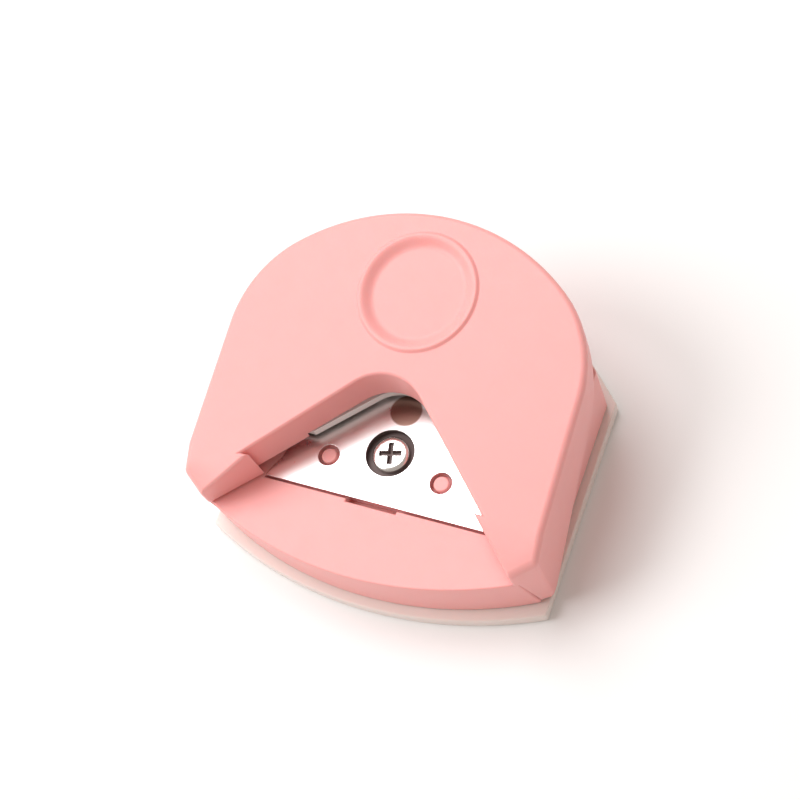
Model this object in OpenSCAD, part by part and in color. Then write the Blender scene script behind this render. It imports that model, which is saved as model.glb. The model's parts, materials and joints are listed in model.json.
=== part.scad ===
// Corner rounder: a palm-sized lever punch that rounds the corner of a sheet
// to a 4 mm radius.  The cover is hinged at its two front noses and pressed
// down at the thumb dish; the paper slides in from the front, over the apron
// and the die plate, into the slot below the guide plate.
//
// Origin: centre of the bottom face.  +Y points to the rear, +Z up.  Millimetres.

/* [Cover] */
// Overall width across the cover's flanks
body_w = 54; // [53.6:0.1:54.6]
// Radius of the cover's back, seen from above
back_r = 32; // [31:0.5:34]
// Radius of the cover's two rear corners, seen from above
corner_r = 18; // [17:0.5:19]
// Rearmost point of the cover
cover_back_y = 26.1; // [25.8:0.1:27]
// Height of the cover's top plane above the origin
top_z = 20.3; // [20:0.1:21]
// Slope of the top plane, rising to the rear (degrees)
top_slope = 9.6; // [9:0.1:10.5]
// Thickness of the cover's top wall
top_t = 1.6; // [1.4:0.1:2]
// Thickness of the cover's skirt
skirt_t = 1.25; // [1.1:0.05:1.4]
// Slope of the skirt's lower edge, rising to the rear (degrees)
skirt_slope = 27; // [25:0.5:28]
// Outer radius of the lip around the thumb dish
dish_r = 9.1; // [7:0.1:9.6]
// Height of that lip above the top plane
dish_lip = 0.35; // [0.2:0.05:0.4]
// Depth of the thumb dish below the lip
dish_depth = 0.9; // [0.5:0.1:1.1]

/* [Paper notch] */
// Where the notch's two 45 degree walls would meet on the centre line
notch_y = 5.1; // [4.8:0.1:5.3]
// Radius of the notch's rounded apex
notch_r = 7; // [6:0.5:7.5]
// Thickness of the notch wall
notch_t = 1.3; // [1.1:0.05:1.4]

/* [Cutting set] */
// Radius cut on the sheet's corner
cut_r = 4; // [3.5:0.1:4.2]
// Where the two paper stops would meet on the centre line
stop_y = 6.3; // [6.2:0.05:6.5]
// Height of the die plate's top face
die_top_z = 11; // [10.9:0.1:11.2]
// Thickness of the die plate
die_t = 1.5; // [1.4:0.1:1.6]
// Height of the paper slot
slot_h = 0.8; // [0.7:0.05:0.9]
// Thickness of the guide plate
guide_t = 1.3; // [1.2:0.05:1.4]

/* [Base] */
// Half width of the base's walls
base_half = 25.4; // [25.3:0.05:25.4]
// Radius of the apron's curved front
apron_r = 56; // [54:0.5:58]
// Front edge of the apron on the centre line
apron_front_y = -24.5; // [-24.8:0.1:-24.3]
// Height of the apron
apron_z = 10.7; // [10.6:0.05:10.8]
// Height of the base's rear walls
rear_wall_z = 12; // [11.4:0.1:12.2]

/* [Motion] */
// Travel of the cover (degrees)
press_angle = 4.2; // [3.9:0.1:4.5]

/* [Hidden] */
$fn = 96;

far = 60;                 // larger than any part, for cutting tools
nudge = 0.01;             // overlap of a cutting tool past a face
seam = 0.002;             // by which a wedge's sides lie inside its rounded apex
root2 = sqrt(2);
half_w = body_w / 2;

// hinge of the cover
pivot_y = -15;
pivot_z = 6.8;
pin_r = 1;
pin_fit = 0.04;           // radial clearance of every running fit
boss_r = 2.4;
boss_gap = 0.35;
boss_in = 24.2;           // inner faces of the cover's bosses
boss_pocket_in = 23.9;    // inner ends of the pockets around them
pin_in = 19.5;            // inner ends of the hinge pins
pin_length = 6.6;
pin_block_in = 18.5;      // blocks of the base that hold the pins
pin_block_half = 2.2;

// noses of the cover
nose_x = 24.3;            // inner corner of a nose, on the notch wall
nose_y = notch_y - nose_x;
nose_side_y = nose_y + 2; // where the bevelled nose meets the flank
nose_drop_y = -13.7;      // where the top starts to fall to the nose
nose_slope = 29.5;
nose_top_z = top_z + nose_drop_y * tan(top_slope);
nose_gap_z = apron_z + 0.35;
nose_block_y = -13.2;     // in front of this the notch wall reaches the apron
nose_proud = 0.8;         // and stands this far into the notch
nose_lean = 9.5;          // of the nose's inner edge, below the apron's level
nose_depth = 3.1;         // reach of that slanting edge behind the nose's tip
skirt_front_z = 3;
skirt_rear_h = 3.4;
skirt_line_y = -14.3;     // a point on the skirt's sloping lower edge
skirt_line_z = 3.7;
dish_y = 14.4;            // centre of the thumb dish
dish_lip_t = 0.5;

// heights of the cutting set
slot_z = die_top_z + slot_h;
guide_top_z = slot_z + guide_t;
die_floor_z = die_top_z - die_t;
notch_press_gap = 0.15;   // notch wall above the guide plate when pressed
notch_front_z = 12.2;     // its lower edge at the hinge line, in front of the guide plate

// plan of the plates
plate_clear = 0.25;
guide_notch_y = notch_y + 0.4;
guide_notch_r = 5.7;
guide_half = 14.5;
guide_front_y = -5.9;
guide_back_y = 13.6;
guide_clear = 0.8;        // from the guide plate's front edge to the lower notch wall
stop_gap = 0.6;           // between a paper stop and the punch's side
stop_apex_r = 0.2;
plate_front_y = -13.3;    // plan of the die plate: a flared front and a tapered body
plate_front_half = 17;
plate_waist_y = -9.8;
plate_waist_half = 15.4;
plate_back_y = 12;
plate_back_half = 13;
lift_half = 3.9;          // lifting notch at the die plate's front edge
lift_y = -14;
lift_depth = 0.8;
peg_x = 8.8;
peg_y = -8.1;
peg_r = 1.15;
peg_hole_r = 1.62;
peg_drop = 0.15;          // peg below the die plate's top face
screw_y = -5.6;
screw_recess_r = 3.6;
screw_recess_depth = 1.1;
screw_head_r = 2.7;
screw_r = 1.25;
screw_boss_r = 2.6;
head_drop = 0.05;         // screw's head below the die plate's top face
cross_depth = 0.75;       // of the cross recess in every screw head
rivet_x = 12;
rivet_y = -1.5;
rivet_r = 0.9;
rivet_head_r = 1.5;
rivet_head_h = 0.45;
guide_screw_x = 10.4;
guide_screw_y = 9;
guide_screw_r = 1;
guide_screw_head_r = 1.8;
guide_screw_head_h = 1.1;
guide_screw_boss_r = 2.2;
boss_low_z = 4.2;         // lower end of the bosses that the screws go into
thread_end_z = 5.4;       // lower end of every plate screw
bore_fit = 0.02;          // of the screws in the base
hole_fit = 0.15;          // of the screws in the plates

// punch
cut_y = stop_y - cut_r * root2;   // centre of the cut arc
punch_half = 4.4;
punch_front_y = 2.9;
punch_back_y = 9.4;
punch_fit = 0.03;
punch_lift = 0.1;         // cutting face above the slot at rest
foot_h = 2;
foot_gap = 0.2;           // around the foot in the punch guide
cross_gap = 0.1;          // beside the cross pin in the punch guide
wing_t = 1.6;             // flange of the punch guide
stem_y = 7.6;
stem_r = 1.7;
stem_top_z = 18.8;
cross_z = 17.6;
cross_r = 0.8;
cross_half = 7.8;
rib_in = 6.3;
rib_out = 7.5;
rib_front_y = 5.4;
rib_back_y = 9.9;
rib_low_z = 15.6;
slot_run = 0.95;          // forward run of the cross pin in the ribs

// springs
spring_x = 17.8;
spring_y = 13;
spring_top_z = 19.5;
spring_r = 2.2;
wire_r = 0.3;
post_r = 1.5;
post_h = 1.8;             // of the base's spring posts
pilot_h = 1.5;            // of the cover's
spring_cup_wall = 1;
spring_turns = 6;
spring_steps = 20;        // rings of the wire in a turn
wire_sides = 8;

// base and tray
deck_t = 2.5;
deck_z = apron_z - deck_t;
wall_t = 1.5;
base_low_z = 2.2;
base_back_y = 20.5;
corner_cut = 37.8;        // x + y of the base's rear chamfers
base_arc_y = apron_front_y + apron_r;
step_x = 24;              // base corner set back to clear the noses
step_y = -16.2;
corner_back_y = -17.9;    // of the leaning corner in front of the bosses
rim_front_y = -2;
rim_rise_y = 8;           // the rear walls rise behind this point
rim_slope = 16.5;
tray_arc_r = apron_r + 6;
tray_front_y = apron_front_y - 1.5;
tray_half = 26.6;
tray_back_y = 18.6;
tray_corner_cut = 39.6;
tray_rim_end_y = 16.5;    // the rim is open behind this, for the hinge and the stop hook
tray_rim_gap_x = 18;      // and outside this beside the hinge pin blocks
tray_block_gap = 0.4;
tray_lip_z = 2;
tray_floor_t = 1.2;
tray_rim_z = 5;
tray_rim_t = 1.2;
tray_rim_gap = 0.4;
tray_root = 0.2;          // overlap of the rim with the floor it stands on
tray_hinge_t = 1.8;       // thickness of the strip that carries the knuckles
rod_y = 20.2;
rod_z = 1.3;
rod_r = 0.6;
rod_half = 14.5;
knuckle_r = 1.3;
knuckle_half = 11.5;
lug_in = 12;
lug_t = 3;
knuckle_gap = 0.35;
chute_half = 5.4;         // chute for the cut corners, below the die
chute_front_y = 1.8;
chute_back_y = 10.6;
hook_half = 3.6;
hook_y = 16;
hook_t = 1.2;
hook_reach = 2.9;         // of the barb, behind the hook's front face
hook_barb_h = 1.4;
hook_gap = 0.15;          // barb below the deck at rest
window_gap = 0.4;
window_back_y = 18.45;

pink = [0.98, 0.76, 0.75];
pale = [0.93, 0.86, 0.83];
steel = [0.82, 0.82, 0.84];
dark_steel = [0.55, 0.55, 0.58];

// ---------------------------------------------------------------- helpers

// everything below a plane that holds the line (y, z) and rises to the rear
module below(y, z, slope) {
    translate([0, y, z])
        rotate([slope, 0, 0])
            translate([-far, -far, -far])
                cube([2 * far, 2 * far, far]);
}

// a box between two opposite corners
module box(low, high) {
    translate(low)
        cube(high - low);
}

// everything below z and between two values of y, up to a side that leans out downwards from x
module leaning_box(x, z, front_y, back_y) {
    translate([x, front_y, z])
        rotate([0, -nose_lean, 0])
            translate([-far, 0, -far])
                cube([far, back_y - front_y, far]);
}

// a round bar along X
module bar_x(x, y, z, r, length) {
    translate([x, y, z])
        rotate([0, 90, 0])
            cylinder(r = r, h = length);
}

module upright(x, y, z, r, top) {
    translate([x, y, z])
        cylinder(r = r, h = top - z);
}

// wedge with 45 degree sides and a rounded apex that points to the rear
module wedge(apex_y, r) {
    centre_y = apex_y - r * root2;
    side_r = r - seam;
    touch = side_r / root2;
    side_apex = centre_y + side_r * root2;
    translate([0, centre_y])
        circle(r);
    polygon([
        [touch, centre_y + touch],
        [far, side_apex - far],
        [-far, side_apex - far],
        [-touch, centre_y + touch]
    ]);
}

// the notch wall's face, moved t into the cover
module notch_plan(t) {
    wedge(notch_y + t * root2, notch_r + t);
}

// the notch as it is open from above: its walls stand proud at the noses
module notch_opening() {
    difference() {
        notch_plan(0);
        difference() {
            translate([-far, -far])
                square([2 * far, far + nose_block_y]);
            notch_plan(-nose_proud);
        }
    }
}

// plan of the cover, t inside its outer faces, with the notch still filled
module cover_plan(t) {
    side = half_w - t;
    small_r = corner_r - t;
    corner_x = half_w - corner_r;
    back_y = cover_back_y - back_r;
    reach = back_r - corner_r;
    corner_y = back_y + sqrt(reach * reach - corner_x * corner_x);
    rise = (corner_y - back_y) / corner_x;
    difference() {
        union() {
            translate([-side, nose_y - 1])
                square([2 * side, corner_y - nose_y + 1]);
            for (s = [-1, 1])
                translate([s * corner_x, corner_y])
                    circle(small_r);
            intersection() {
                translate([0, back_y])
                    circle(back_r - t);
                polygon([[0, back_y], [far, back_y + far * rise], [-far, back_y + far * rise]]);
            }
        }
        for (s = [-1, 1])
            nose_bevel(s, t);
    }
}

// cuts the corner in front of one nose
module nose_bevel(s, t) {
    run = half_w - nose_x;
    angle = atan2(nose_side_y - nose_y, run);
    mirror([s < 0 ? 1 : 0, 0])
        translate([nose_x, nose_y])
            rotate(angle)
                translate([-far / 2, -far + t])
                    square([far, far]);
}

// ---------------------------------------------------------------- cover

module cover_solid() {
    intersection() {
        linear_extrude(far / 2)
            difference() {
                cover_plan(0);
                notch_opening();
            }
        below(0, top_z, top_slope);
        below(nose_drop_y, nose_top_z, nose_slope);
    }
}

module cover_cavity() {
    intersection() {
        translate([0, 0, -1])
            linear_extrude(far / 2)
                difference() {
                    cover_plan(skirt_t);
                    notch_plan(notch_t);
                }
        below(0, top_z - top_t, top_slope);
        below(nose_drop_y, nose_top_z - top_t, nose_slope);
    }
}

// what is cut off below the skirt's edge
module skirt_trim() {
    difference() {
        union() {
            intersection() {
                below(skirt_line_y, skirt_line_z, skirt_slope);
                below(0, top_z - skirt_rear_h, top_slope);
            }
            box([-far, -far, -1], [far, far, skirt_front_z]);
        }
        translate([0, 0, -2])
            linear_extrude(far)
                notch_plan(notch_t - nudge);
    }
}

// what is cut off below the notch wall
module notch_trim() {
    intersection() {
        union() {
            intersection() {
                below(pivot_y, guide_top_z + notch_press_gap, press_angle);
                box([-far, guide_front_y - guide_clear, -1], [far, far, far]);
            }
            intersection() {
                below(pivot_y, notch_front_z, press_angle);
                box([-far, nose_block_y, -1], [far, far, far]);
            }
            box([-nose_x, -far, -1], [nose_x, far, nose_gap_z]);
        }
        translate([0, 0, -2])
            linear_extrude(far)
                notch_plan(notch_t);
    }
}

// slanting inner edge of each nose, below the apron's level
module nose_trim() {
    for (s = [0, 1])
        mirror([s, 0, 0])
            leaning_box(nose_x, nose_gap_z, nose_y - 1, nose_y + nose_depth);
}

// ribs with slots that drive the punch's cross pin
module drive_ribs() {
    for (s = [0, 1])
        mirror([s, 0, 0])
            difference() {
                box([rib_in, rib_front_y, rib_low_z], [rib_out, rib_back_y, top_z]);
                cross_slot();
            }
}

module cross_slot() {
    r = cross_r + pin_fit;
    for (y = [stem_y - slot_run, stem_y])
        bar_x(rib_in - 1, y, cross_z, r, 3);
    box([rib_in - 1, stem_y - slot_run, cross_z - r], [rib_out + 1, stem_y, cross_z + r]);
}

// cup and pilot that hold a spring's upper end
module spring_seat(x) {
    upright(x, spring_y, spring_top_z, spring_r + spring_cup_wall, top_z + top_t);
    upright(x, spring_y, spring_top_z - pilot_h, post_r, spring_top_z + 1);
}

// barb that stops the cover below the base's deck
module stop_hook() {
    barb_z = deck_z - hook_gap;
    low_z = barb_z - hook_barb_h;
    box([-hook_half, hook_y, low_z], [hook_half, hook_y + hook_t, top_z + top_t]);
    box([-hook_half, hook_y, low_z], [hook_half, hook_y + hook_reach, barb_z]);
}

module pivot_bosses() {
    for (s = [0, 1])
        mirror([s, 0, 0])
            bar_x(boss_in, pivot_y, pivot_z, boss_r, half_w - boss_in - skirt_t / 2);
}

// the centre of the thumb dish, on the top plane
module on_dish() {
    translate([0, 0, top_z])
        rotate([top_slope, 0, 0])
            translate([0, dish_y / cos(top_slope), 0])
                children();
}

module dish_pad() {
    on_dish()
        translate([0, 0, -top_t / 2])
            cylinder(r = dish_r, h = top_t / 2 + dish_lip);
}

module thumb_dish() {
    rim_r = dish_r - dish_lip_t;
    sphere_r = (rim_r * rim_r + dish_depth * dish_depth) / (2 * dish_depth);
    on_dish()
        translate([0, 0, dish_lip - dish_depth + sphere_r])
            sphere(sphere_r, $fn = 180);
}

module press_cover() {
    color(pink)
        difference() {
            union() {
                difference() {
                    cover_solid();
                    cover_cavity();
                    skirt_trim();
                    notch_trim();
                    nose_trim();
                }
                dish_pad();
                drive_ribs();
                spring_seat(-spring_x);
                spring_seat(spring_x);
                stop_hook();
                pivot_bosses();
            }
            thumb_dish();
            for (s = [0, 1])
                mirror([s, 0, 0])
                    bar_x(pin_in, pivot_y, pivot_z, pin_r + pin_fit, pin_length + 0.3);
        }
}

// ---------------------------------------------------------------- base

// plan of the base, t inside its outer faces
module base_plan(t) {
    difference() {
        intersection() {
            translate([0, base_arc_y])
                circle(apron_r - t);
            translate([-(base_half - t), -far])
                square([2 * (base_half - t), far + base_back_y - t]);
        }
        for (s = [0, 1])
            mirror([s, 0, 0]) {
                rear_corner(corner_cut - t * root2);
                nose_step(t);
            }
    }
}

// cuts a rear corner off along x + y = total
module rear_corner(total) {
    polygon([[0, total], [total, 0], [far, 0], [far, far], [0, far]]);
}

// sets the front corner back, behind a nose
module nose_step(t) {
    cut = base_half - step_x;
    polygon([
        [step_x - t, -far],
        [step_x - t, step_y + t],
        [base_half - t, step_y + t + cut],
        [far, step_y + t + cut],
        [far, -far]
    ]);
}

// plan of the die plate, grown by t
module die_plan(t) {
    polygon([
        [-plate_front_half - t, plate_front_y - t],
        [plate_front_half + t, plate_front_y - t],
        [plate_waist_half + t, plate_waist_y],
        [plate_back_half + t, plate_back_y + t],
        [-plate_back_half - t, plate_back_y + t],
        [-plate_waist_half - t, plate_waist_y]
    ]);
}

// shape of the punch's foot, grown by t: a block with a concave front
module punch_plan(t) {
    difference() {
        translate([-punch_half - t, punch_front_y - t])
            square([2 * (punch_half + t), punch_back_y - punch_front_y + 2 * t]);
        translate([0, cut_y])
            circle(cut_r - t);
    }
}

module base_shell() {
    difference() {
        translate([0, 0, base_low_z])
            linear_extrude(apron_z - base_low_z)
                base_plan(0);
        translate([0, 0, base_low_z - 1])
            linear_extrude(deck_z - base_low_z + 1)
                base_plan(wall_t);
    }
    front_corners();
    // rear walls that stand up inside the skirt
    intersection() {
        translate([0, 0, deck_z])
            linear_extrude(far / 2)
                difference() {
                    base_plan(0);
                    base_plan(wall_t);
                }
        union() {
            box([-far, rim_front_y, 0], [far, far, rear_wall_z]);
            intersection() {
                box([-far, rim_rise_y, 0], [far, far, far]);
                below(rim_rise_y, rear_wall_z, rim_slope);
            }
        }
    }
}

// the front corners lean out beside the noses
module front_corners() {
    for (s = [0, 1])
        mirror([s, 0, 0])
            intersection() {
                translate([0, 0, base_low_z])
                    linear_extrude(apron_z - base_low_z)
                        intersection() {
                            translate([0, base_arc_y])
                                circle(apron_r);
                            translate([step_x - wall_t, -far])
                                square([far, far]);
                        }
                leaning_box(step_x, apron_z, -far, corner_back_y);
            }
}

module base_posts() {
    for (s = [-1, 1]) {
        upright(s * spring_x, spring_y, apron_z - 1, post_r, apron_z + post_h);
        upright(s * guide_screw_x, guide_screw_y, boss_low_z, guide_screw_boss_r, deck_z + 1);
        upright(s * peg_x, peg_y, deck_z + 1, peg_r, die_top_z - peg_drop);
    }
    upright(0, screw_y, boss_low_z, screw_boss_r, deck_z + 1);
    for (s = [0, 1])
        mirror([s, 0, 0]) {
            box(
                [pin_block_in, pivot_y - pin_block_half, pivot_z - pin_block_half],
                [base_half - wall_t / 2, pivot_y + pin_block_half, deck_z + 1]
            );
            tray_lug();
        }
}

// lug that carries one end of the tray's hinge rod
module tray_lug() {
    bar_x(lug_in, rod_y, rod_z, knuckle_r, lug_t);
    box([lug_in, rod_y - knuckle_r, rod_z], [lug_in + lug_t, base_back_y - 0.2, base_low_z + 1]);
}

module base_housing() {
    passage = lug_in + lug_t + knuckle_gap;
    color(pink)
        difference() {
            union() {
                difference() {
                    base_shell();
                    // seat of the die plate, with a lifting notch at its front edge
                    translate([0, 0, die_floor_z])
                        linear_extrude(far)
                            die_plan(plate_clear);
                    box(
                        [-lift_half, lift_y, die_floor_z - lift_depth],
                        [lift_half, plate_front_y + lift_depth / 2, far]
                    );
                    // passage for the tray's knuckles
                    bar_x(-passage, rod_y, rod_z, knuckle_r + knuckle_gap, 2 * passage);
                    box([-passage, rod_y, -1], [passage, far, base_low_z + knuckle_gap]);
                }
                base_posts();
            }
            // chute below the die
            box([-chute_half, chute_front_y, base_low_z], [chute_half, chute_back_y, far]);
            // window of the stop hook
            box(
                [-hook_half - window_gap, hook_y - window_gap, base_low_z],
                [hook_half + window_gap, window_back_y, far]
            );
            base_bores();
        }
}

module base_bores() {
    upright(0, screw_y, thread_end_z - 0.2, screw_r + bore_fit, far);
    for (s = [-1, 1])
        upright(s * guide_screw_x, guide_screw_y, thread_end_z - 0.2, guide_screw_r + bore_fit, far);
    for (s = [0, 1])
        mirror([s, 0, 0]) {
            // pocket of the cover's boss, and the bore of the pin
            bar_x(boss_pocket_in, pivot_y, pivot_z, boss_r + boss_gap, far);
            bar_x(pin_in - 0.1, pivot_y, pivot_z, pin_r, far);
            bar_x(lug_in - 1, rod_y, rod_z, rod_r, lug_t + 0.5);
        }
}

// ---------------------------------------------------------------- scrap tray

// plan of the tray's floor
module tray_plan() {
    difference() {
        intersection() {
            translate([0, tray_front_y + tray_arc_r])
                circle(tray_arc_r);
            translate([-tray_half, -far])
                square([2 * tray_half, far + tray_back_y]);
        }
        for (s = [0, 1])
            mirror([s, 0, 0])
                rear_corner(tray_corner_cut);
    }
}

module tray_rim() {
    outer = wall_t + tray_rim_gap;
    block_gap = pin_block_half + tray_block_gap;
    low_z = tray_floor_t - tray_root;
    translate([0, 0, low_z])
        linear_extrude(tray_rim_z - low_z)
            difference() {
                base_plan(outer);
                base_plan(outer + tray_rim_t);
                translate([-far, tray_rim_end_y])
                    square([2 * far, far]);
                for (s = [0, 1])
                    mirror([s, 0, 0])
                        translate([tray_rim_gap_x, pivot_y - block_gap])
                            square([far, 2 * block_gap]);
            }
}

module scrap_tray() {
    color(pale)
        difference() {
            union() {
                difference() {
                    linear_extrude(tray_lip_z)
                        tray_plan();
                    translate([0, 0, tray_floor_t])
                        linear_extrude(far)
                            base_plan(wall_t + tray_rim_gap + tray_root / 2);
                }
                tray_rim();
                bar_x(-knuckle_half, rod_y, rod_z, knuckle_r, 2 * knuckle_half);
                box([-knuckle_half, tray_back_y - 1, 0], [knuckle_half, rod_y, tray_hinge_t]);
            }
            bar_x(-far / 2, rod_y, rod_z, rod_r + pin_fit, far);
        }
}

module tray_hinge_rod() {
    color(steel)
        bar_x(-rod_half, rod_y, rod_z, rod_r, 2 * rod_half);
}

// ---------------------------------------------------------------- cutting set

module fixing_holes(z, height, rivet_hole) {
    for (s = [-1, 1]) {
        translate([s * guide_screw_x, guide_screw_y, z])
            cylinder(r = guide_screw_r + hole_fit, h = height);
        translate([s * rivet_x, rivet_y, z])
            cylinder(r = rivet_hole, h = height);
    }
}

module die_plate() {
    color(steel)
        difference() {
            translate([0, 0, die_floor_z])
                linear_extrude(die_t)
                    die_plan(0);
            upright(0, screw_y, die_floor_z - 1, screw_r + hole_fit, far);
            upright(0, screw_y, die_top_z - screw_recess_depth, screw_recess_r, far);
            for (s = [-1, 1])
                upright(s * peg_x, peg_y, die_floor_z - 1, peg_hole_r, far);
            translate([0, 0, die_floor_z - 1])
                linear_extrude(die_t + 2)
                    punch_plan(punch_fit);
            fixing_holes(die_floor_z - 1, die_t + 2, rivet_r);
        }
}

// outline of the guide plate and, between the plates, of the paper stops
module guide_outline(apex_y, r) {
    difference() {
        translate([-guide_half, guide_front_y])
            square([2 * guide_half, guide_back_y - guide_front_y]);
        wedge(apex_y, r);
    }
}

module guide_plate() {
    color(steel)
        difference() {
            translate([0, 0, slot_z])
                linear_extrude(guide_t)
                    guide_outline(guide_notch_y, guide_notch_r);
            translate([0, 0, slot_z - 1])
                linear_extrude(guide_t + 2)
                    punch_plan(punch_fit);
            fixing_holes(slot_z - 1, guide_t + 2, rivet_r);
        }
}

// a paper stop: its 45 degree edge is the fence that the sheet's side meets
module paper_stop() {
    color(dark_steel)
        difference() {
            translate([0, 0, die_top_z])
                linear_extrude(slot_h)
                    difference() {
                        guide_outline(stop_y, stop_apex_r);
                        translate([-far, -far])
                            square([far + punch_half + stop_gap, 2 * far]);
                    }
            fixing_holes(die_top_z - 1, slot_h + 2, rivet_r);
        }
}

module paper_stop_right() {
    paper_stop();
}

module paper_stop_left() {
    mirror([1, 0, 0])
        paper_stop();
}

// rivet through die plate, stop and guide plate, flush below and domed above
module plate_rivet(x) {
    color(dark_steel) {
        upright(x, rivet_y, die_floor_z, rivet_r, guide_top_z);
        upright(x, rivet_y, guide_top_z, rivet_head_r, guide_top_z + rivet_head_h);
    }
}

module plate_rivet_left() {
    plate_rivet(-rivet_x);
}

module plate_rivet_right() {
    plate_rivet(rivet_x);
}

// cross recess cut into a screw head
module cross_recess(x, y, top, r) {
    across = r * 0.17;
    along = r * 0.62;
    box([x - along, y - across, top - cross_depth], [x + along, y + across, top + 1]);
    box([x - across, y - along, top - cross_depth], [x + across, y + along, top + 1]);
}

module plate_screw() {
    head_low = die_top_z - screw_recess_depth;
    head_top = die_top_z - head_drop;
    color(steel)
        difference() {
            union() {
                upright(0, screw_y, thread_end_z, screw_r, head_low + 0.1);
                upright(0, screw_y, head_low, screw_head_r, head_top);
            }
            cross_recess(0, screw_y, head_top, screw_head_r);
        }
}

// ---------------------------------------------------------------- punch

module punch_guide() {
    block_half = 5.9;
    block_top = 16.8;
    block_front = 4.9;
    wing_in = 8.2;
    wing_half = guide_half - 1;
    wing_back_y = 11.7;
    wing_top = guide_top_z + wing_t;
    room_top = 14.3;
    color(pale)
        difference() {
            union() {
                box([-block_half, block_front, guide_top_z], [block_half, guide_back_y, block_top]);
                box([-wing_half, wing_back_y, guide_top_z], [wing_half, guide_back_y, wing_top]);
                for (s = [0, 1])
                    mirror([s, 0, 0])
                        box([wing_in, block_front, guide_top_z], [wing_half, guide_back_y, wing_top]);
            }
            // room for the punch's foot, and the stem's bore
            box([-punch_half - foot_gap, 0, 0], [punch_half + foot_gap, punch_back_y + foot_gap, room_top]);
            upright(0, stem_y, guide_top_z, stem_r + pin_fit, far);
            // slots in which the cross pin travels
            box(
                [-far, stem_y - cross_r - cross_gap, room_top - cross_r],
                [far, stem_y + cross_r + cross_gap, far]
            );
            for (s = [-1, 1])
                upright(s * guide_screw_x, guide_screw_y, 0, guide_screw_r + hole_fit, far);
        }
}

module guide_screw(x) {
    head_low = guide_top_z + wing_t;
    head_top = head_low + guide_screw_head_h;
    color(steel)
        difference() {
            union() {
                upright(x, guide_screw_y, thread_end_z, guide_screw_r, head_low + 0.1);
                upright(x, guide_screw_y, head_low, guide_screw_head_r, head_top);
            }
            cross_recess(x, guide_screw_y, head_top, guide_screw_head_r);
        }
}

module guide_screw_left() {
    guide_screw(-guide_screw_x);
}

module guide_screw_right() {
    guide_screw(guide_screw_x);
}

module punch() {
    low = slot_z + punch_lift;
    color(dark_steel)
        difference() {
            union() {
                translate([0, 0, low])
                    linear_extrude(foot_h)
                        punch_plan(0);
                upright(0, stem_y, low + foot_h - 0.2, stem_r, stem_top_z);
            }
            bar_x(-far / 2, stem_y, cross_z, cross_r, far);
        }
}

module punch_cross_pin() {
    color(steel)
        bar_x(-cross_half, stem_y, cross_z, cross_r, 2 * cross_half);
}

// ---------------------------------------------------------------- springs and hinge pins

// height of the coil's centre line at turn t: closed end turns, open between
function coil_z(t, low, high) =
    let (end = 0.9, flat = 2 * wire_r)
    t < end ? low + flat * t
    : t > spring_turns - end ? high - flat * (spring_turns - t)
    : low + flat * end + (high - low - 2 * flat * end) * (t - end) / (spring_turns - 2 * end);

module coil(x, y, low, high) {
    rings = spring_turns * spring_steps;
    points = [
        for (i = [0:rings], j = [0:wire_sides - 1])
            let (
                turn = i / spring_steps,
                a = 360 * turn,
                b = 360 * j / wire_sides,
                r = spring_r + wire_r * cos(b)
            )
            [x + r * cos(a), y + r * sin(a), coil_z(turn, low + wire_r, high - wire_r) + wire_r * sin(b)]
    ];
    sides = [
        for (i = [0:rings - 1], j = [0:wire_sides - 1])
            let (k = (j + 1) % wire_sides, a = i * wire_sides, b = a + wire_sides)
            [a + j, b + j, b + k, a + k]
    ];
    caps = [
        [for (j = [0:wire_sides - 1]) j],
        [for (j = [wire_sides - 1:-1:0]) rings * wire_sides + j]
    ];
    polyhedron(points, concat(sides, caps), convexity = 8);
}

module cover_spring(x) {
    color(steel)
        coil(x, spring_y, apron_z, spring_top_z);
}

module cover_spring_left() {
    cover_spring(-spring_x);
}

module cover_spring_right() {
    cover_spring(spring_x);
}

module hinge_pin_right() {
    color(steel)
        bar_x(pin_in, pivot_y, pivot_z, pin_r, pin_length);
}

module hinge_pin_left() {
    mirror([1, 0, 0])
        hinge_pin_right();
}

// ---------------------------------------------------------------- nodes

press_cover();
base_housing();
scrap_tray();
tray_hinge_rod();
die_plate();
guide_plate();
paper_stop_left();
paper_stop_right();
plate_rivet_left();
plate_rivet_right();
plate_screw();
punch_guide();
guide_screw_left();
guide_screw_right();
punch();
punch_cross_pin();
cover_spring_left();
cover_spring_right();
hinge_pin_left();
hinge_pin_right();
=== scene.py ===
import json
import math

import bmesh
import bpy
from mathutils import Matrix, Vector


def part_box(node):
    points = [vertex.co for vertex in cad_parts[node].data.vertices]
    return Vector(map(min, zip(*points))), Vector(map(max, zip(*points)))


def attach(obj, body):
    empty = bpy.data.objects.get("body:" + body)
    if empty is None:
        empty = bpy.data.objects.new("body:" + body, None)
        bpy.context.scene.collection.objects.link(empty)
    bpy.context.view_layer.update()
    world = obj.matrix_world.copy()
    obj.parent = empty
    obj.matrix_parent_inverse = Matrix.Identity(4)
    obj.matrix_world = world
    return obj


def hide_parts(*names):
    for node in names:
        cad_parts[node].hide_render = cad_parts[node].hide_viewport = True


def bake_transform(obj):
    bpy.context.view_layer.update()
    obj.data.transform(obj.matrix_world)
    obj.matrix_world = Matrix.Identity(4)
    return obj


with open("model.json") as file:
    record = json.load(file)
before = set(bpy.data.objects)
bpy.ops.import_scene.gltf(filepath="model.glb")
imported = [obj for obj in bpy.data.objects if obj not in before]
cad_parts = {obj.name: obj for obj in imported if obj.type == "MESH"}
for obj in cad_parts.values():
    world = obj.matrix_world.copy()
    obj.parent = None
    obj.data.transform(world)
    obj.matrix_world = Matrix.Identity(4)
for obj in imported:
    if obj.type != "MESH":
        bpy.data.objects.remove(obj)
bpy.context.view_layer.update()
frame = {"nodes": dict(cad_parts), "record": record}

MM = 0.001
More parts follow.
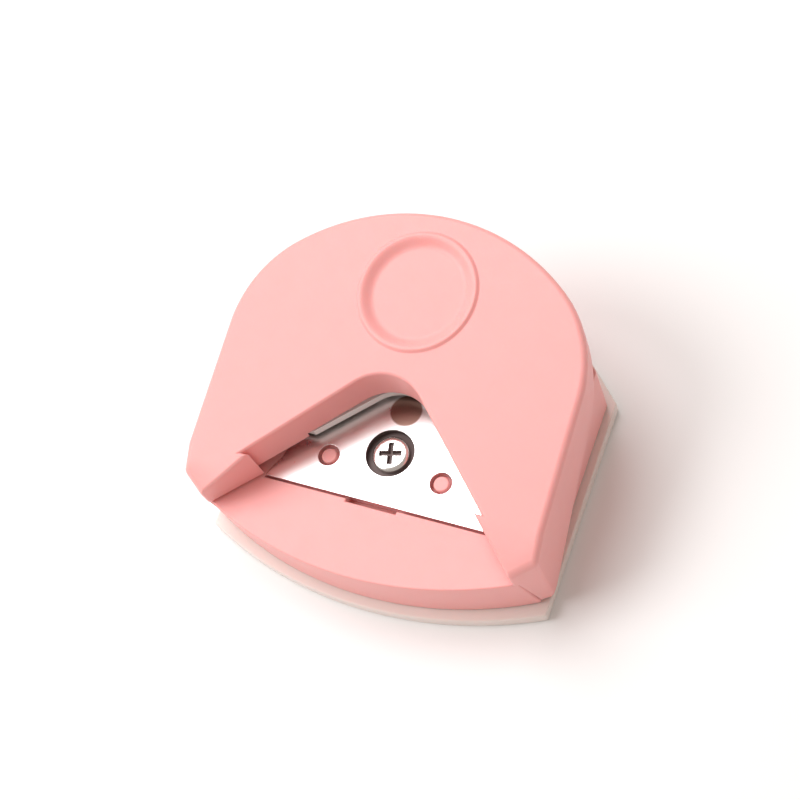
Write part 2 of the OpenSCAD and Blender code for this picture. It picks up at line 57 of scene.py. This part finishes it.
FLOOR_HALF = 3.0          # half the floor's side, in metres
AIM_HEIGHT = 0.01         # the lights face this height over the origin, in metres
NODES = frame["nodes"]
BODY_OF = {n: b for b, names in frame["record"]["behaviour"]["bodies"].items() for n in names}
SLOT_OF = {s["node"]: s["material_slot"] for s in frame["record"]["subparts"]}


# ------------------------------------------------------------------ camera

def aim_camera(target, distance, azimuth, elevation, roll, lens):
    """Camera at an azimuth and elevation round a target, turned about its own line of sight."""
    az, el, turn = (math.radians(v) for v in (azimuth, elevation, roll))
    back = Vector((math.cos(el) * math.sin(az), -math.cos(el) * math.cos(az), math.sin(el)))
    level = Vector((math.cos(az), math.sin(az), 0))
    steep = back.cross(level)
    right = level * math.cos(turn) + steep * math.sin(turn)
    up = back.cross(right)
    place = target + back * distance
    data = bpy.data.cameras.new("camera")
    data.lens = lens
    data.sensor_width = 36
    data.clip_start = 0.005
    data.clip_end = 20
    camera = bpy.data.objects.new("camera", data)
    camera.matrix_world = Matrix((
        (right.x, up.x, back.x, place.x),
        (right.y, up.y, back.y, place.y),
        (right.z, up.z, back.z, place.z),
        (0, 0, 0, 1),
    ))
    bpy.context.scene.collection.objects.link(camera)
    bpy.context.scene.camera = camera


aim_camera(Vector((-1.12, 2.2, 12.0)) * MM, 214.27 * MM, 48.67, 59.976, -31.434, 67.36)


# ------------------------------------------------------------------ studio

def softbox(name, place, size, watts, colour):
    """A round area light that faces the object."""
    data = bpy.data.lights.new(name, "AREA")
    data.shape = "DISK"
    data.size = size
    data.energy = watts
    data.color = colour
    lamp = bpy.data.objects.new(name, data)
    lamp.location = place
    lamp.rotation_euler = (Vector((0, 0, AIM_HEIGHT)) - Vector(place)).to_track_quat("-Z", "Y").to_euler()
    bpy.context.scene.collection.objects.link(lamp)


def studio():
    scene = bpy.context.scene
    scene.view_settings.view_transform = "Standard"
    world = bpy.data.worlds.new("studio")
    world.use_nodes = True
    sky = world.node_tree.nodes["Background"]
    sky.inputs["Color"].default_value = (1.0, 0.89, 0.81, 1)
    sky.inputs["Strength"].default_value = 0.46
    scene.world = world
    softbox("key", (-0.50, -0.22, 0.60), 0.45, 3.2, (0.99, 0.99, 1.0))
    softbox("overhead", (-0.34, 0.30, 0.80), 0.62, 4.7, (0.98, 0.985, 1.0))

    mesh = bpy.data.meshes.new("floor")
    corners = [(x * FLOOR_HALF, y * FLOOR_HALF, 0) for x, y in ((-1, -1), (1, -1), (1, 1), (-1, 1))]
    mesh.from_pydata(corners, [], [(0, 1, 2, 3)])
    floor = bpy.data.objects.new("floor", mesh)
    scene.collection.objects.link(floor)
    paper = bpy.data.materials.new("floor_paper")
    paper.use_nodes = True
    shader = paper.node_tree.nodes["Principled BSDF"]
    shader.inputs["Base Color"].default_value = (0.93, 0.93, 0.93, 1)
    shader.inputs["Roughness"].default_value = 0.9
    shader.inputs["Specular IOR Level"].default_value = 0.1
    mesh.materials.append(paper)


studio()


# ------------------------------------------------------------------ materials

class Nodes:
    """A short way to build a node tree."""

    def __init__(self, name):
        self.material = bpy.data.materials.new(name)
        self.material.use_nodes = True
        self.tree = self.material.node_tree
        self.shader = self.tree.nodes["Principled BSDF"]

    def add(self, kind, inputs=None, **settings):
        made = self.tree.nodes.new(kind)
        for key, value in settings.items():
            setattr(made, key, value)
        for key, value in (inputs or {}).items():
            self.feed(made.inputs[key], value)
        return made

    def feed(self, socket, value):
        if isinstance(value, bpy.types.NodeSocket):
            self.tree.links.new(value, socket)
        else:
            socket.default_value = value

    def set(self, **values):
        for key, value in values.items():
            self.feed(self.shader.inputs[key.replace("_", " ")], value)

    def noise(self, coords, scale, detail=2.0, rough=0.5):
        made = self.add("ShaderNodeTexNoise", {
            "Vector": coords, "Scale": scale, "Detail": detail, "Roughness": rough,
        })
        return made.outputs["Fac"]

    def remap(self, value, low, high, start=0.25, end=0.75):
        made = self.add("ShaderNodeMapRange", {0: value, 1: start, 2: end, 3: low, 4: high})
        return made.outputs[0]

    def bump(self, height, strength, distance, normal=None):
        made = self.add("ShaderNodeBump", {
            "Height": height, "Strength": strength, "Distance": distance,
        })
        if normal is not None:
            self.feed(made.inputs["Normal"], normal)
        return made.outputs["Normal"]

    def mix(self, share, first, second):
        made = self.add("ShaderNodeMix", data_type="RGBA")
        self.feed(made.inputs[0], share)
        self.feed(made.inputs[6], first)
        self.feed(made.inputs[7], second)
        return made.outputs[2]


def plate_top():
    """Height of the die plate's top face, in metres."""
    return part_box("die_plate")[1][2]


def shade(colour, factor):
    """A colour made darker by a factor, with its alpha."""
    return tuple(c * factor for c in colour[:3]) + (1,)


def plastic(name, colour, glow, rough=0.42, scatter=0.25):
    """Satin moulded plastic: a fine spark-eroded grain, slow colour drift and soft scattering."""
    n = Nodes(name)
    coords = n.add("ShaderNodeTexCoord").outputs["Object"]
    drift = n.noise(coords, 60, 3)
    grain = n.noise(coords, 5200, 2, 0.6)
    cloud = n.noise(coords, 420, 4, 0.6)
    n.set(
        Base_Color=n.mix(drift, shade(colour, 0.985), shade(colour, 1.0)),
        Roughness=n.remap(cloud, rough - 0.05, rough + 0.05),
        Subsurface_Weight=scatter,
        Subsurface_Radius=glow,
        Subsurface_Scale=0.0012,
        Normal=n.bump(grain, 0.18, 0.000012, n.bump(cloud, 0.12, 0.00003)),
    )
    n.shader.inputs["IOR"].default_value = 1.46
    return n.material


def steel(name, colour, rough, brushed=(30, 2600, 400), strength=0.25, metal=1.0, painted_patch=None):
    """Ground or brushed steel: fine lines along X, soft smudges. An optional disc of painted shade is given
    as x, y, radius, colour.
    """
    n = Nodes(name)
    coords = n.add("ShaderNodeTexCoord").outputs["Object"]
    lines_at = n.add("ShaderNodeMapping", {"Vector": coords, "Scale": brushed}).outputs[0]
    lines = n.noise(lines_at, 1.0, 3, 0.6)
    smudge = n.noise(coords, 350, 4, 0.65)
    pits = n.noise(coords, 3600, 2, 0.5)
    tint = n.mix(smudge, shade(colour, 0.96), shade(colour, 1.0))
    # a brown disc of painted shade, blended over the steel's tint
    if painted_patch:
        x, y, radius, painted_colour = painted_patch
        soft = 0.12 * MM
        away = n.add("ShaderNodeVectorMath", {0: coords, 1: (x, y, plate_top())}, operation="DISTANCE")
        waver = n.remap(smudge, 0, 0.05 * MM)
        edge = n.add("ShaderNodeMath", {0: away.outputs["Value"], 1: waver}, operation="ADD")
        share = n.remap(edge.outputs[0], 1, 0, radius - soft, radius + soft)
        tint = n.mix(share, tint, painted_colour + (1,))
    n.set(
        Base_Color=tint,
        Metallic=metal,
        Roughness=n.remap(smudge, rough * 0.85, rough * 1.2),
        Normal=n.bump(lines, strength, 0.000006, n.bump(pits, 0.05, 0.000004)),
    )
    return n.material


PINK = (0.95, 0.425, 0.41)
APEX_PAINTED_SHADE = (0, 1.17 * MM, 2.4 * MM, (0.33, 0.22, 0.18))      # painted shade at the notch's apex: a brown disc standing in for a shaded recess there
MATERIALS = {
    "pink_plastic": plastic("pink_plastic", PINK, (1.0, 0.32, 0.2)),
    "pale_plastic": plastic("pale_plastic", (0.86, 0.76, 0.72), (0.8, 0.55, 0.45)),
    "guide_plastic": plastic("guide_plastic", (0.80, 0.77, 0.72), (0.6, 0.5, 0.4)),
    "plate_steel": steel("plate_steel", (0.96, 0.95, 0.95), 0.3, painted_patch=APEX_PAINTED_SHADE),
    "tool_steel": steel("tool_steel", (0.55, 0.54, 0.53), 0.34, strength=0.4),
    # painted reflection: a near-white, barely metallic copy of steel makes the guide plate's edge as bright
    # as a lit reflection
    "guide_painted_sheen": steel("guide_painted_sheen", (0.98, 0.975, 0.97), 0.45, strength=0.15, metal=0.1),
    # painted shade: near-black paper fences make the slot under the guide plate read dark
    "fence_painted_shade": steel("fence_painted_shade", (0.07, 0.055, 0.05), 0.5, metal=0.4),
    # painted shade for recesses: the die plate's screw recess and the screws' cross recesses
    "recess_painted_shade": steel("recess_painted_shade", (0.16, 0.12, 0.115), 0.55, strength=0.1, metal=0.6),
    "screw_steel": steel("screw_steel", (0.86, 0.84, 0.82), 0.2, brushed=(900, 900, 900), strength=0.1),
    "spring_steel": steel("spring_steel", (0.52, 0.51, 0.50), 0.3, strength=0.2),
}


# ------------------------------------------------------------------ mesh help

def cad_mesh(node):
    """A CAD node's mesh as one closed bmesh, its flat faces whole."""
    bm = bmesh.new()
    bm.from_mesh(NODES[node].data)
    bmesh.ops.remove_doubles(bm, verts=bm.verts, dist=0.001 * MM)
    bmesh.ops.dissolve_limit(bm, angle_limit=math.radians(0.3), verts=bm.verts, edges=bm.edges)
    bm.normal_update()
    return bm


def turn_of(edge):
    """Angle between an edge's faces in degrees, positive where it is convex."""
    return math.degrees(edge.calc_face_angle_signed(0)) if len(edge.link_faces) == 2 else 0


def middle(edge):
    """An edge's midpoint, in mm."""
    return (edge.verts[0].co + edge.verts[1].co) / 2 / MM


CLEAR_TURN = 28           # an edge is rounded when its faces meet at more than this, in degrees
FOLDED_TURN = 120         # and, on the cover, at less than this
WIDEST = 2.0              # the fillet that a bevel weight of 1 stands for, in mm


def piece(name, bm, nodes, rounding=None, steps=3, smooth=32, finish=None):
    """A finished object from a bmesh. rounding(edge) gives an edge's fillet in mm, or 0."""
    if rounding:
        weight = bm.edges.layers.float.new("bevel_weight_edge")
        for edge in bm.edges:
            edge[weight] = min(rounding(edge) / WIDEST, 1)
    mesh = bpy.data.meshes.new(name)
    bm.to_mesh(mesh)
    bm.free()
    mesh.materials.clear()
    slot = SLOT_OF[nodes[0]]
    mesh.materials.append(MATERIALS[finish or slot])
    made = bpy.data.objects.new(name, mesh)
    bpy.context.scene.collection.objects.link(made)
    mesh.shade_smooth()
    if rounding:
        bevel = made.modifiers.new("fillets", "BEVEL")
        bevel.limit_method = "WEIGHT"
        bevel.width = WIDEST * MM
        bevel.segments = steps
        bevel.use_clamp_overlap = False
        bevel.miter_outer = "MITER_ARC"
        bevel.harden_normals = False
    smooth_by_angle(made, smooth)
    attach(made, BODY_OF[nodes[0]])
    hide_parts(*nodes)
    return made


def smooth_by_angle(made, degrees):
    """Bake the modifiers, then keep edges sharper than this sharp and weigh normals by face area."""
    bpy.context.view_layer.update()
    graph = bpy.context.evaluated_depsgraph_get()
    baked = bpy.data.meshes.new_from_object(made.evaluated_get(graph))
    old = made.data
    made.modifiers.clear()
    made.data = baked
    bpy.data.meshes.remove(old)
    baked.name = made.name
    bm = bmesh.new()
    bm.from_mesh(baked)
    for edge in bm.edges:
        edge.smooth = len(edge.link_faces) == 2 and edge.calc_face_angle(0) < math.radians(degrees)
    for face in bm.faces:
        face.smooth = True
    bm.to_mesh(baked)
    bm.free()
    weigh = made.modifiers.new("weighted", "WEIGHTED_NORMAL")
    weigh.keep_sharp = True
    weigh.weight = 90


# ------------------------------------------------------------------ cover

LIP_HEIGHT = 0.34         # over the top plane, in mm
DISH_FLOOR = -0.55
LIP_IN = 0.935            # share of the lip's outer radius where the lip is highest
FLOOR_IN = 0.70           # and where the floor starts
LIP_BAND = 0.065          # width of the lip's outer side, as a share
SLOPE_BAND = 0.235        # width of the slope from the lip to the floor, as a share
LIP_RINGS, SLOPE_RINGS = 7, 12


def dish_axis(bm):
    """Centre, axis and radius of the thumb dish's lip, which is the ring that stands over the top plane."""
    top = max((f for f in bm.faces if f.normal.z > 0.9), key=lambda f: f.calc_area())
    normal = top.normal.copy()
    plane = top.verts[0].co.dot(normal)
    high = max(v.co.dot(normal) for v in bm.verts)
    lip = [v.co.copy() for v in bm.verts if high - v.co.dot(normal) < 0.005 * MM]
    centre = Vector([(min(co[i] for co in lip) + max(co[i] for co in lip)) / 2 for i in range(3)])
    radius = max((co - centre).length for co in lip)
    centre -= normal * (centre.dot(normal) - plane)
    return centre, normal, radius


def dish_profile(share):
    """Height in mm over the top plane, at a share of the lip's outer radius."""
    if share > LIP_IN:
        return LIP_HEIGHT * (0.5 + 0.5 * math.cos(math.pi * (share - LIP_IN) / LIP_BAND))
    if share > FLOOR_IN:
        rise = (0.5 - 0.5 * math.cos(math.pi * (share - FLOOR_IN) / SLOPE_BAND)) ** 1.25
        return DISH_FLOOR + (LIP_HEIGHT - DISH_FLOOR) * rise
    return DISH_FLOOR


def shape_dish(bm):
    """Replace the pad's faces by rings with a raised lip, a soft inner slope and a nearly flat floor."""
    centre, normal, radius = dish_axis(bm)

    def at(co):
        height = (co - centre).dot(normal)
        return (co - centre - normal * height).length, height

    def inside(face):
        return all(at(v.co)[0] < radius + 0.03 * MM and at(v.co)[1] > -1.2 * MM for v in face.verts)

    bmesh.ops.delete(bm, geom=[f for f in bm.faces if inside(f)], context="FACES")
    rim = list({v for e in bm.edges if e.is_boundary for v in e.verts})
    across = normal.orthogonal().normalized()
    along = normal.cross(across)
    rim.sort(key=lambda v: math.atan2((v.co - centre).dot(along), (v.co - centre).dot(across)))
    ring = rim
    shares = [1 - LIP_BAND * k / LIP_RINGS for k in range(1, LIP_RINGS + 1)]
    shares += [LIP_IN - SLOPE_BAND * k / SLOPE_RINGS for k in range(1, SLOPE_RINGS + 1)]
    shares += [0.6, 0.45, 0.3, 0.15]
    for share in shares:
        lift = normal * dish_profile(share) * MM
        inner = [bm.verts.new(centre + (v.co - centre) * share + lift) for v in rim]
        for k, vert in enumerate(ring):
            n = (k + 1) % len(ring)
            bm.faces.new((vert, ring[n], inner[n], inner[k]))
        ring = inner
    hub = bm.verts.new(centre + normal * dish_profile(0) * MM)
    for k, vert in enumerate(ring):
        bm.faces.new((vert, ring[(k + 1) % len(ring)], hub))
    bm.normal_update()
    return centre, radius


# All in mm. The hinge knuckles and the ribs that drive the punch are hidden, and their edges stay sharp.
NOTCH_REACH = 6           # |x| + y is below this on the notch's edges, and above it on the outer ones
KNUCKLE_X = 24.4          # the knuckles' edges have |x| below this
KNUCKLE_TOP = 11          # and lie lower than this
RIB_X = 8                 # the ribs' edges have |x| below this
RIB_BACK = 13             # and lie in front of this
TOP_FILLET = 0.95
NOTCH_FILLET = 0.4
CORNER_FILLET = 0.45
LOW_FILLET = 0.2
FLAT = 0.8                # a face is level when its normal's z is above this
UPRIGHT = 0.1             # and upright when it is below this


def cover_rounding(edge, dish, radius):
    """The fillet in mm of one of the cover's edges. It is 0 on the dish, creases and hidden edges."""
    turn = turn_of(edge)
    at = middle(edge)
    if turn < CLEAR_TURN or turn > FOLDED_TURN or (at * MM - dish).length < radius * 1.04:
        return 0
    low, high = sorted((f.normal for f in edge.link_faces), key=lambda n: n.z)
    if low.z > FLAT or (abs(at.x) < KNUCKLE_X and at.z < KNUCKLE_TOP):
        return 0
    on_notch = at.y + abs(at.x) < NOTCH_REACH
    if abs(at.x) < RIB_X and at.y + abs(at.x) > NOTCH_REACH and at.y < RIB_BACK and high.z < FLAT:
        return 0
    if high.z > FLAT and abs(low.z) < UPRIGHT:
        return NOTCH_FILLET if on_notch else TOP_FILLET
    if abs(high.z) < UPRIGHT and abs(low.z) < UPRIGHT:
        return CORNER_FILLET
    return LOW_FILLET


def make_cover():
    """The cover, with its dish reshaped before its edges are rounded."""
    bm = cad_mesh("press_cover")
    dish, radius = shape_dish(bm)
    piece("cover_shell", bm, ["press_cover"], lambda edge: cover_rounding(edge, dish, radius), steps=4)


make_cover()


# ------------------------------------------------------------------ base, tray and plates

def rounding_of(radius):
    """A rule that rounds each clear convex edge to the same radius, in mm."""
    def rule(edge):
        return radius if turn_of(edge) > CLEAR_TURN else 0
    return rule


def paint_recess_shade(made, centre, radius, top):
    """Painted shade in the screw's recess: its wall and floor take a darker steel."""
    made.data.materials.append(MATERIALS["recess_painted_shade"])
    for face in made.data.polygons:
        flat = Vector((face.center.x - centre.x, face.center.y - centre.y))
        if flat.length < radius * 1.06 and face.center.z < top - 0.04 * MM:
            face.material_index = 1


def finished(name, node, radius, **look):
    """A piece that is its CAD node's shape with rounded edges."""
    return piece(name, cad_mesh(node), [node], rounding_of(radius), **look)


def make_die_plate():
    """The die plate. Its screw recess is 4/3 of the screw head's width."""
    made = finished("die_plate_ground", "die_plate", 0.06)
    low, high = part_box("plate_screw")
    paint_recess_shade(made, (Vector(low) + Vector(high)) / 2, (high[0] - low[0]) / 2 * 4 / 3, plate_top())


finished("base_shell", "base_housing", 0.25)
finished("tray_shell", "scrap_tray", 0.3)
make_die_plate()
# the guide plate takes the near-white painted reflection
finished("guide_plate_ground", "guide_plate", 0.1, finish="guide_painted_sheen")
finished("punch_guide_moulded", "punch_guide", 0.2)
finished("punch_ground", "punch", 0.06)
for side in ("left", "right"):
    # the fences take the near-black painted shade of the slot
    finished("paper_fence_" + side, "paper_stop_" + side, 0.05, finish="fence_painted_shade")
    finished("rivet_" + side, "plate_rivet_" + side, 0.25, steps=5)
    finished("hinge_pin_turned_" + side, "hinge_pin_" + side, 0.18)
finished("cross_pin_turned", "punch_cross_pin", 0.15)
finished("tray_rod_turned", "tray_hinge_rod", 0.12)


# ------------------------------------------------------------------ screws

CROSS_REACH = 0.62        # each arm's length, as a share of the head's radius
CROSS_WIDTH = 0.29        # each arm's width, as a share of the head's radius
CROSS_DEPTH = 0.72        # in mm, at the middle
CROSS_WALL = 3.2          # slope of the recess's walls
AROUND, RINGS = 160, 48   # faces round the head, and rings from its edge to its middle


def cross_depth(x, y, head_r, turn):
    """How deep the cross recess is at a point of the screw's head, in mm."""
    reach, width = head_r * CROSS_REACH, head_r * CROSS_WIDTH
    c, s = math.cos(turn), math.sin(turn)
    u, v = x * c + y * s, y * c - x * s

    def arm(a, b):
        floor = CROSS_DEPTH * (1 - 0.35 * abs(a) / reach)
        return max(0, min(floor, (width / 2 - abs(b)) * CROSS_WALL, (reach - abs(a)) * CROSS_WALL))

    return max(arm(u, v), arm(v, u))


def screw_profile(head_r, head_h, shank_r, low, top):
    """Radius and height of a pan-head screw from the tip to the middle of the head, in mm."""
    head_low = top - head_h
    outline = [(0, low), (shank_r * 0.7, low), (shank_r, low + 0.35), (shank_r, head_low)]
    outline += [(head_r - 0.12, head_low), (head_r, head_low + 0.12)]
    rim = head_h * 0.3
    for k in range(RINGS + 1):
        share = 1 - k / RINGS
        outline.append((head_r * share, top - rim * share ** 10))
    return outline


def make_screw(node, head_h, shank_r, turn_degrees):
    """A pan-head screw in the box of its CAD node, with a cross recess turned by an angle."""
    low, high = (Vector(co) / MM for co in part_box(node))
    centre = (low + high) / 2
    head_r = (high.x - low.x) / 2
    outline = screw_profile(head_r, head_h, shank_r, low.z, high.z)
    turn = math.radians(turn_degrees)
    bm = bmesh.new()
    loops = []
    for index, (r, z) in enumerate(outline):
        on_top = index >= len(outline) - RINGS
        loop = []
        for k in range(AROUND if r > 1e-6 else 1):
            a = 2 * math.pi * k / AROUND
            x, y = r * math.cos(a), r * math.sin(a)
            drop = cross_depth(x, y, head_r, turn) if on_top else 0
            loop.append(bm.verts.new(Vector((centre.x + x, centre.y + y, z - drop)) * MM))
        loops.append(loop)
    for first, second in zip(loops, loops[1:]):
        for k in range(AROUND):
            n = (k + 1) % AROUND
            corners = [first[k % len(first)], first[n % len(first)]]
            corners += [second[n % len(second)], second[k % len(second)]]
            bm.faces.new(list(dict.fromkeys(corners)))
    bm.normal_update()
    made = piece(node + "_pan_head", bm, [node], smooth=38)
    # painted shade in the cross recess
    made.data.materials.append(MATERIALS["recess_painted_shade"])
    for face in made.data.polygons:
        at = face.center / MM
        away = Vector((at.x - centre.x, at.y - centre.y)).length
        if away < head_r * 0.7 and high.z - head_h < at.z < high.z - 0.2:
            face.material_index = 1


make_screw("plate_screw", 1.05, 1.25, 14.5)
make_screw("guide_screw_left", 1.1, 1.0, 35)
make_screw("guide_screw_right", 1.1, 1.0, 71)


# ------------------------------------------------------------------ springs

def make_spring(node, turns=6, wire_r=0.3):
    """A wire coil with closed end turns in its CAD node's box, and the middles of its foot and head."""
    low, high = (Vector(co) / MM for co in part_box(node))
    centre = (low + high) / 2
    coil_r = (high.x - low.x) / 2 - wire_r
    bottom, top = low.z + wire_r, high.z - wire_r
    closed, pitch = 0.9, 2 * wire_r
    per_turn, sides = 40, 14

    def height(t):
        if t < closed:
            return bottom + pitch * t
        if t > turns - closed:
            return top - pitch * (turns - t)
        share = (t - closed) / (turns - 2 * closed)
        return bottom + pitch * closed + (top - bottom - 2 * pitch * closed) * share

    bm = bmesh.new()
    rings = []
    for i in range(turns * per_turn + 1):
        t = i / per_turn
        a = 2 * math.pi * t
        ring = []
        for j in range(sides):
            b = 2 * math.pi * j / sides
            r = coil_r + wire_r * math.cos(b)
            x, y = centre.x + r * math.cos(a), centre.y + r * math.sin(a)
            ring.append(bm.verts.new(Vector((x, y, height(t) + wire_r * math.sin(b))) * MM))
        rings.append(ring)
    for first, second in zip(rings, rings[1:]):
        for j in range(sides):
            n = (j + 1) % sides
            bm.faces.new((first[j], second[j], second[n], first[n]))
    bm.faces.new(rings[0])
    bm.faces.new(list(reversed(rings[-1])))
    bm.normal_update()
    return bm, (centre.x * MM, centre.y * MM, low.z * MM), (centre.x * MM, centre.y * MM, high.z * MM)


def place_spring(node):
    """A spring coil baked in place of its CAD node; it is attached to no body, so its head does not move
    with the cover.
    """
    bm, foot, head = make_spring(node)
    mesh = bpy.data.meshes.new(node + "_wire")
    bm.to_mesh(mesh)
    bm.free()
    mesh.shade_smooth()
    mesh.materials.append(MATERIALS[SLOT_OF[node]])
    made = bpy.data.objects.new(node + "_wire", mesh)
    bpy.context.scene.collection.objects.link(made)
    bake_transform(made)
    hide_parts(node)


place_spring("cover_spring_left")
place_spring("cover_spring_right")
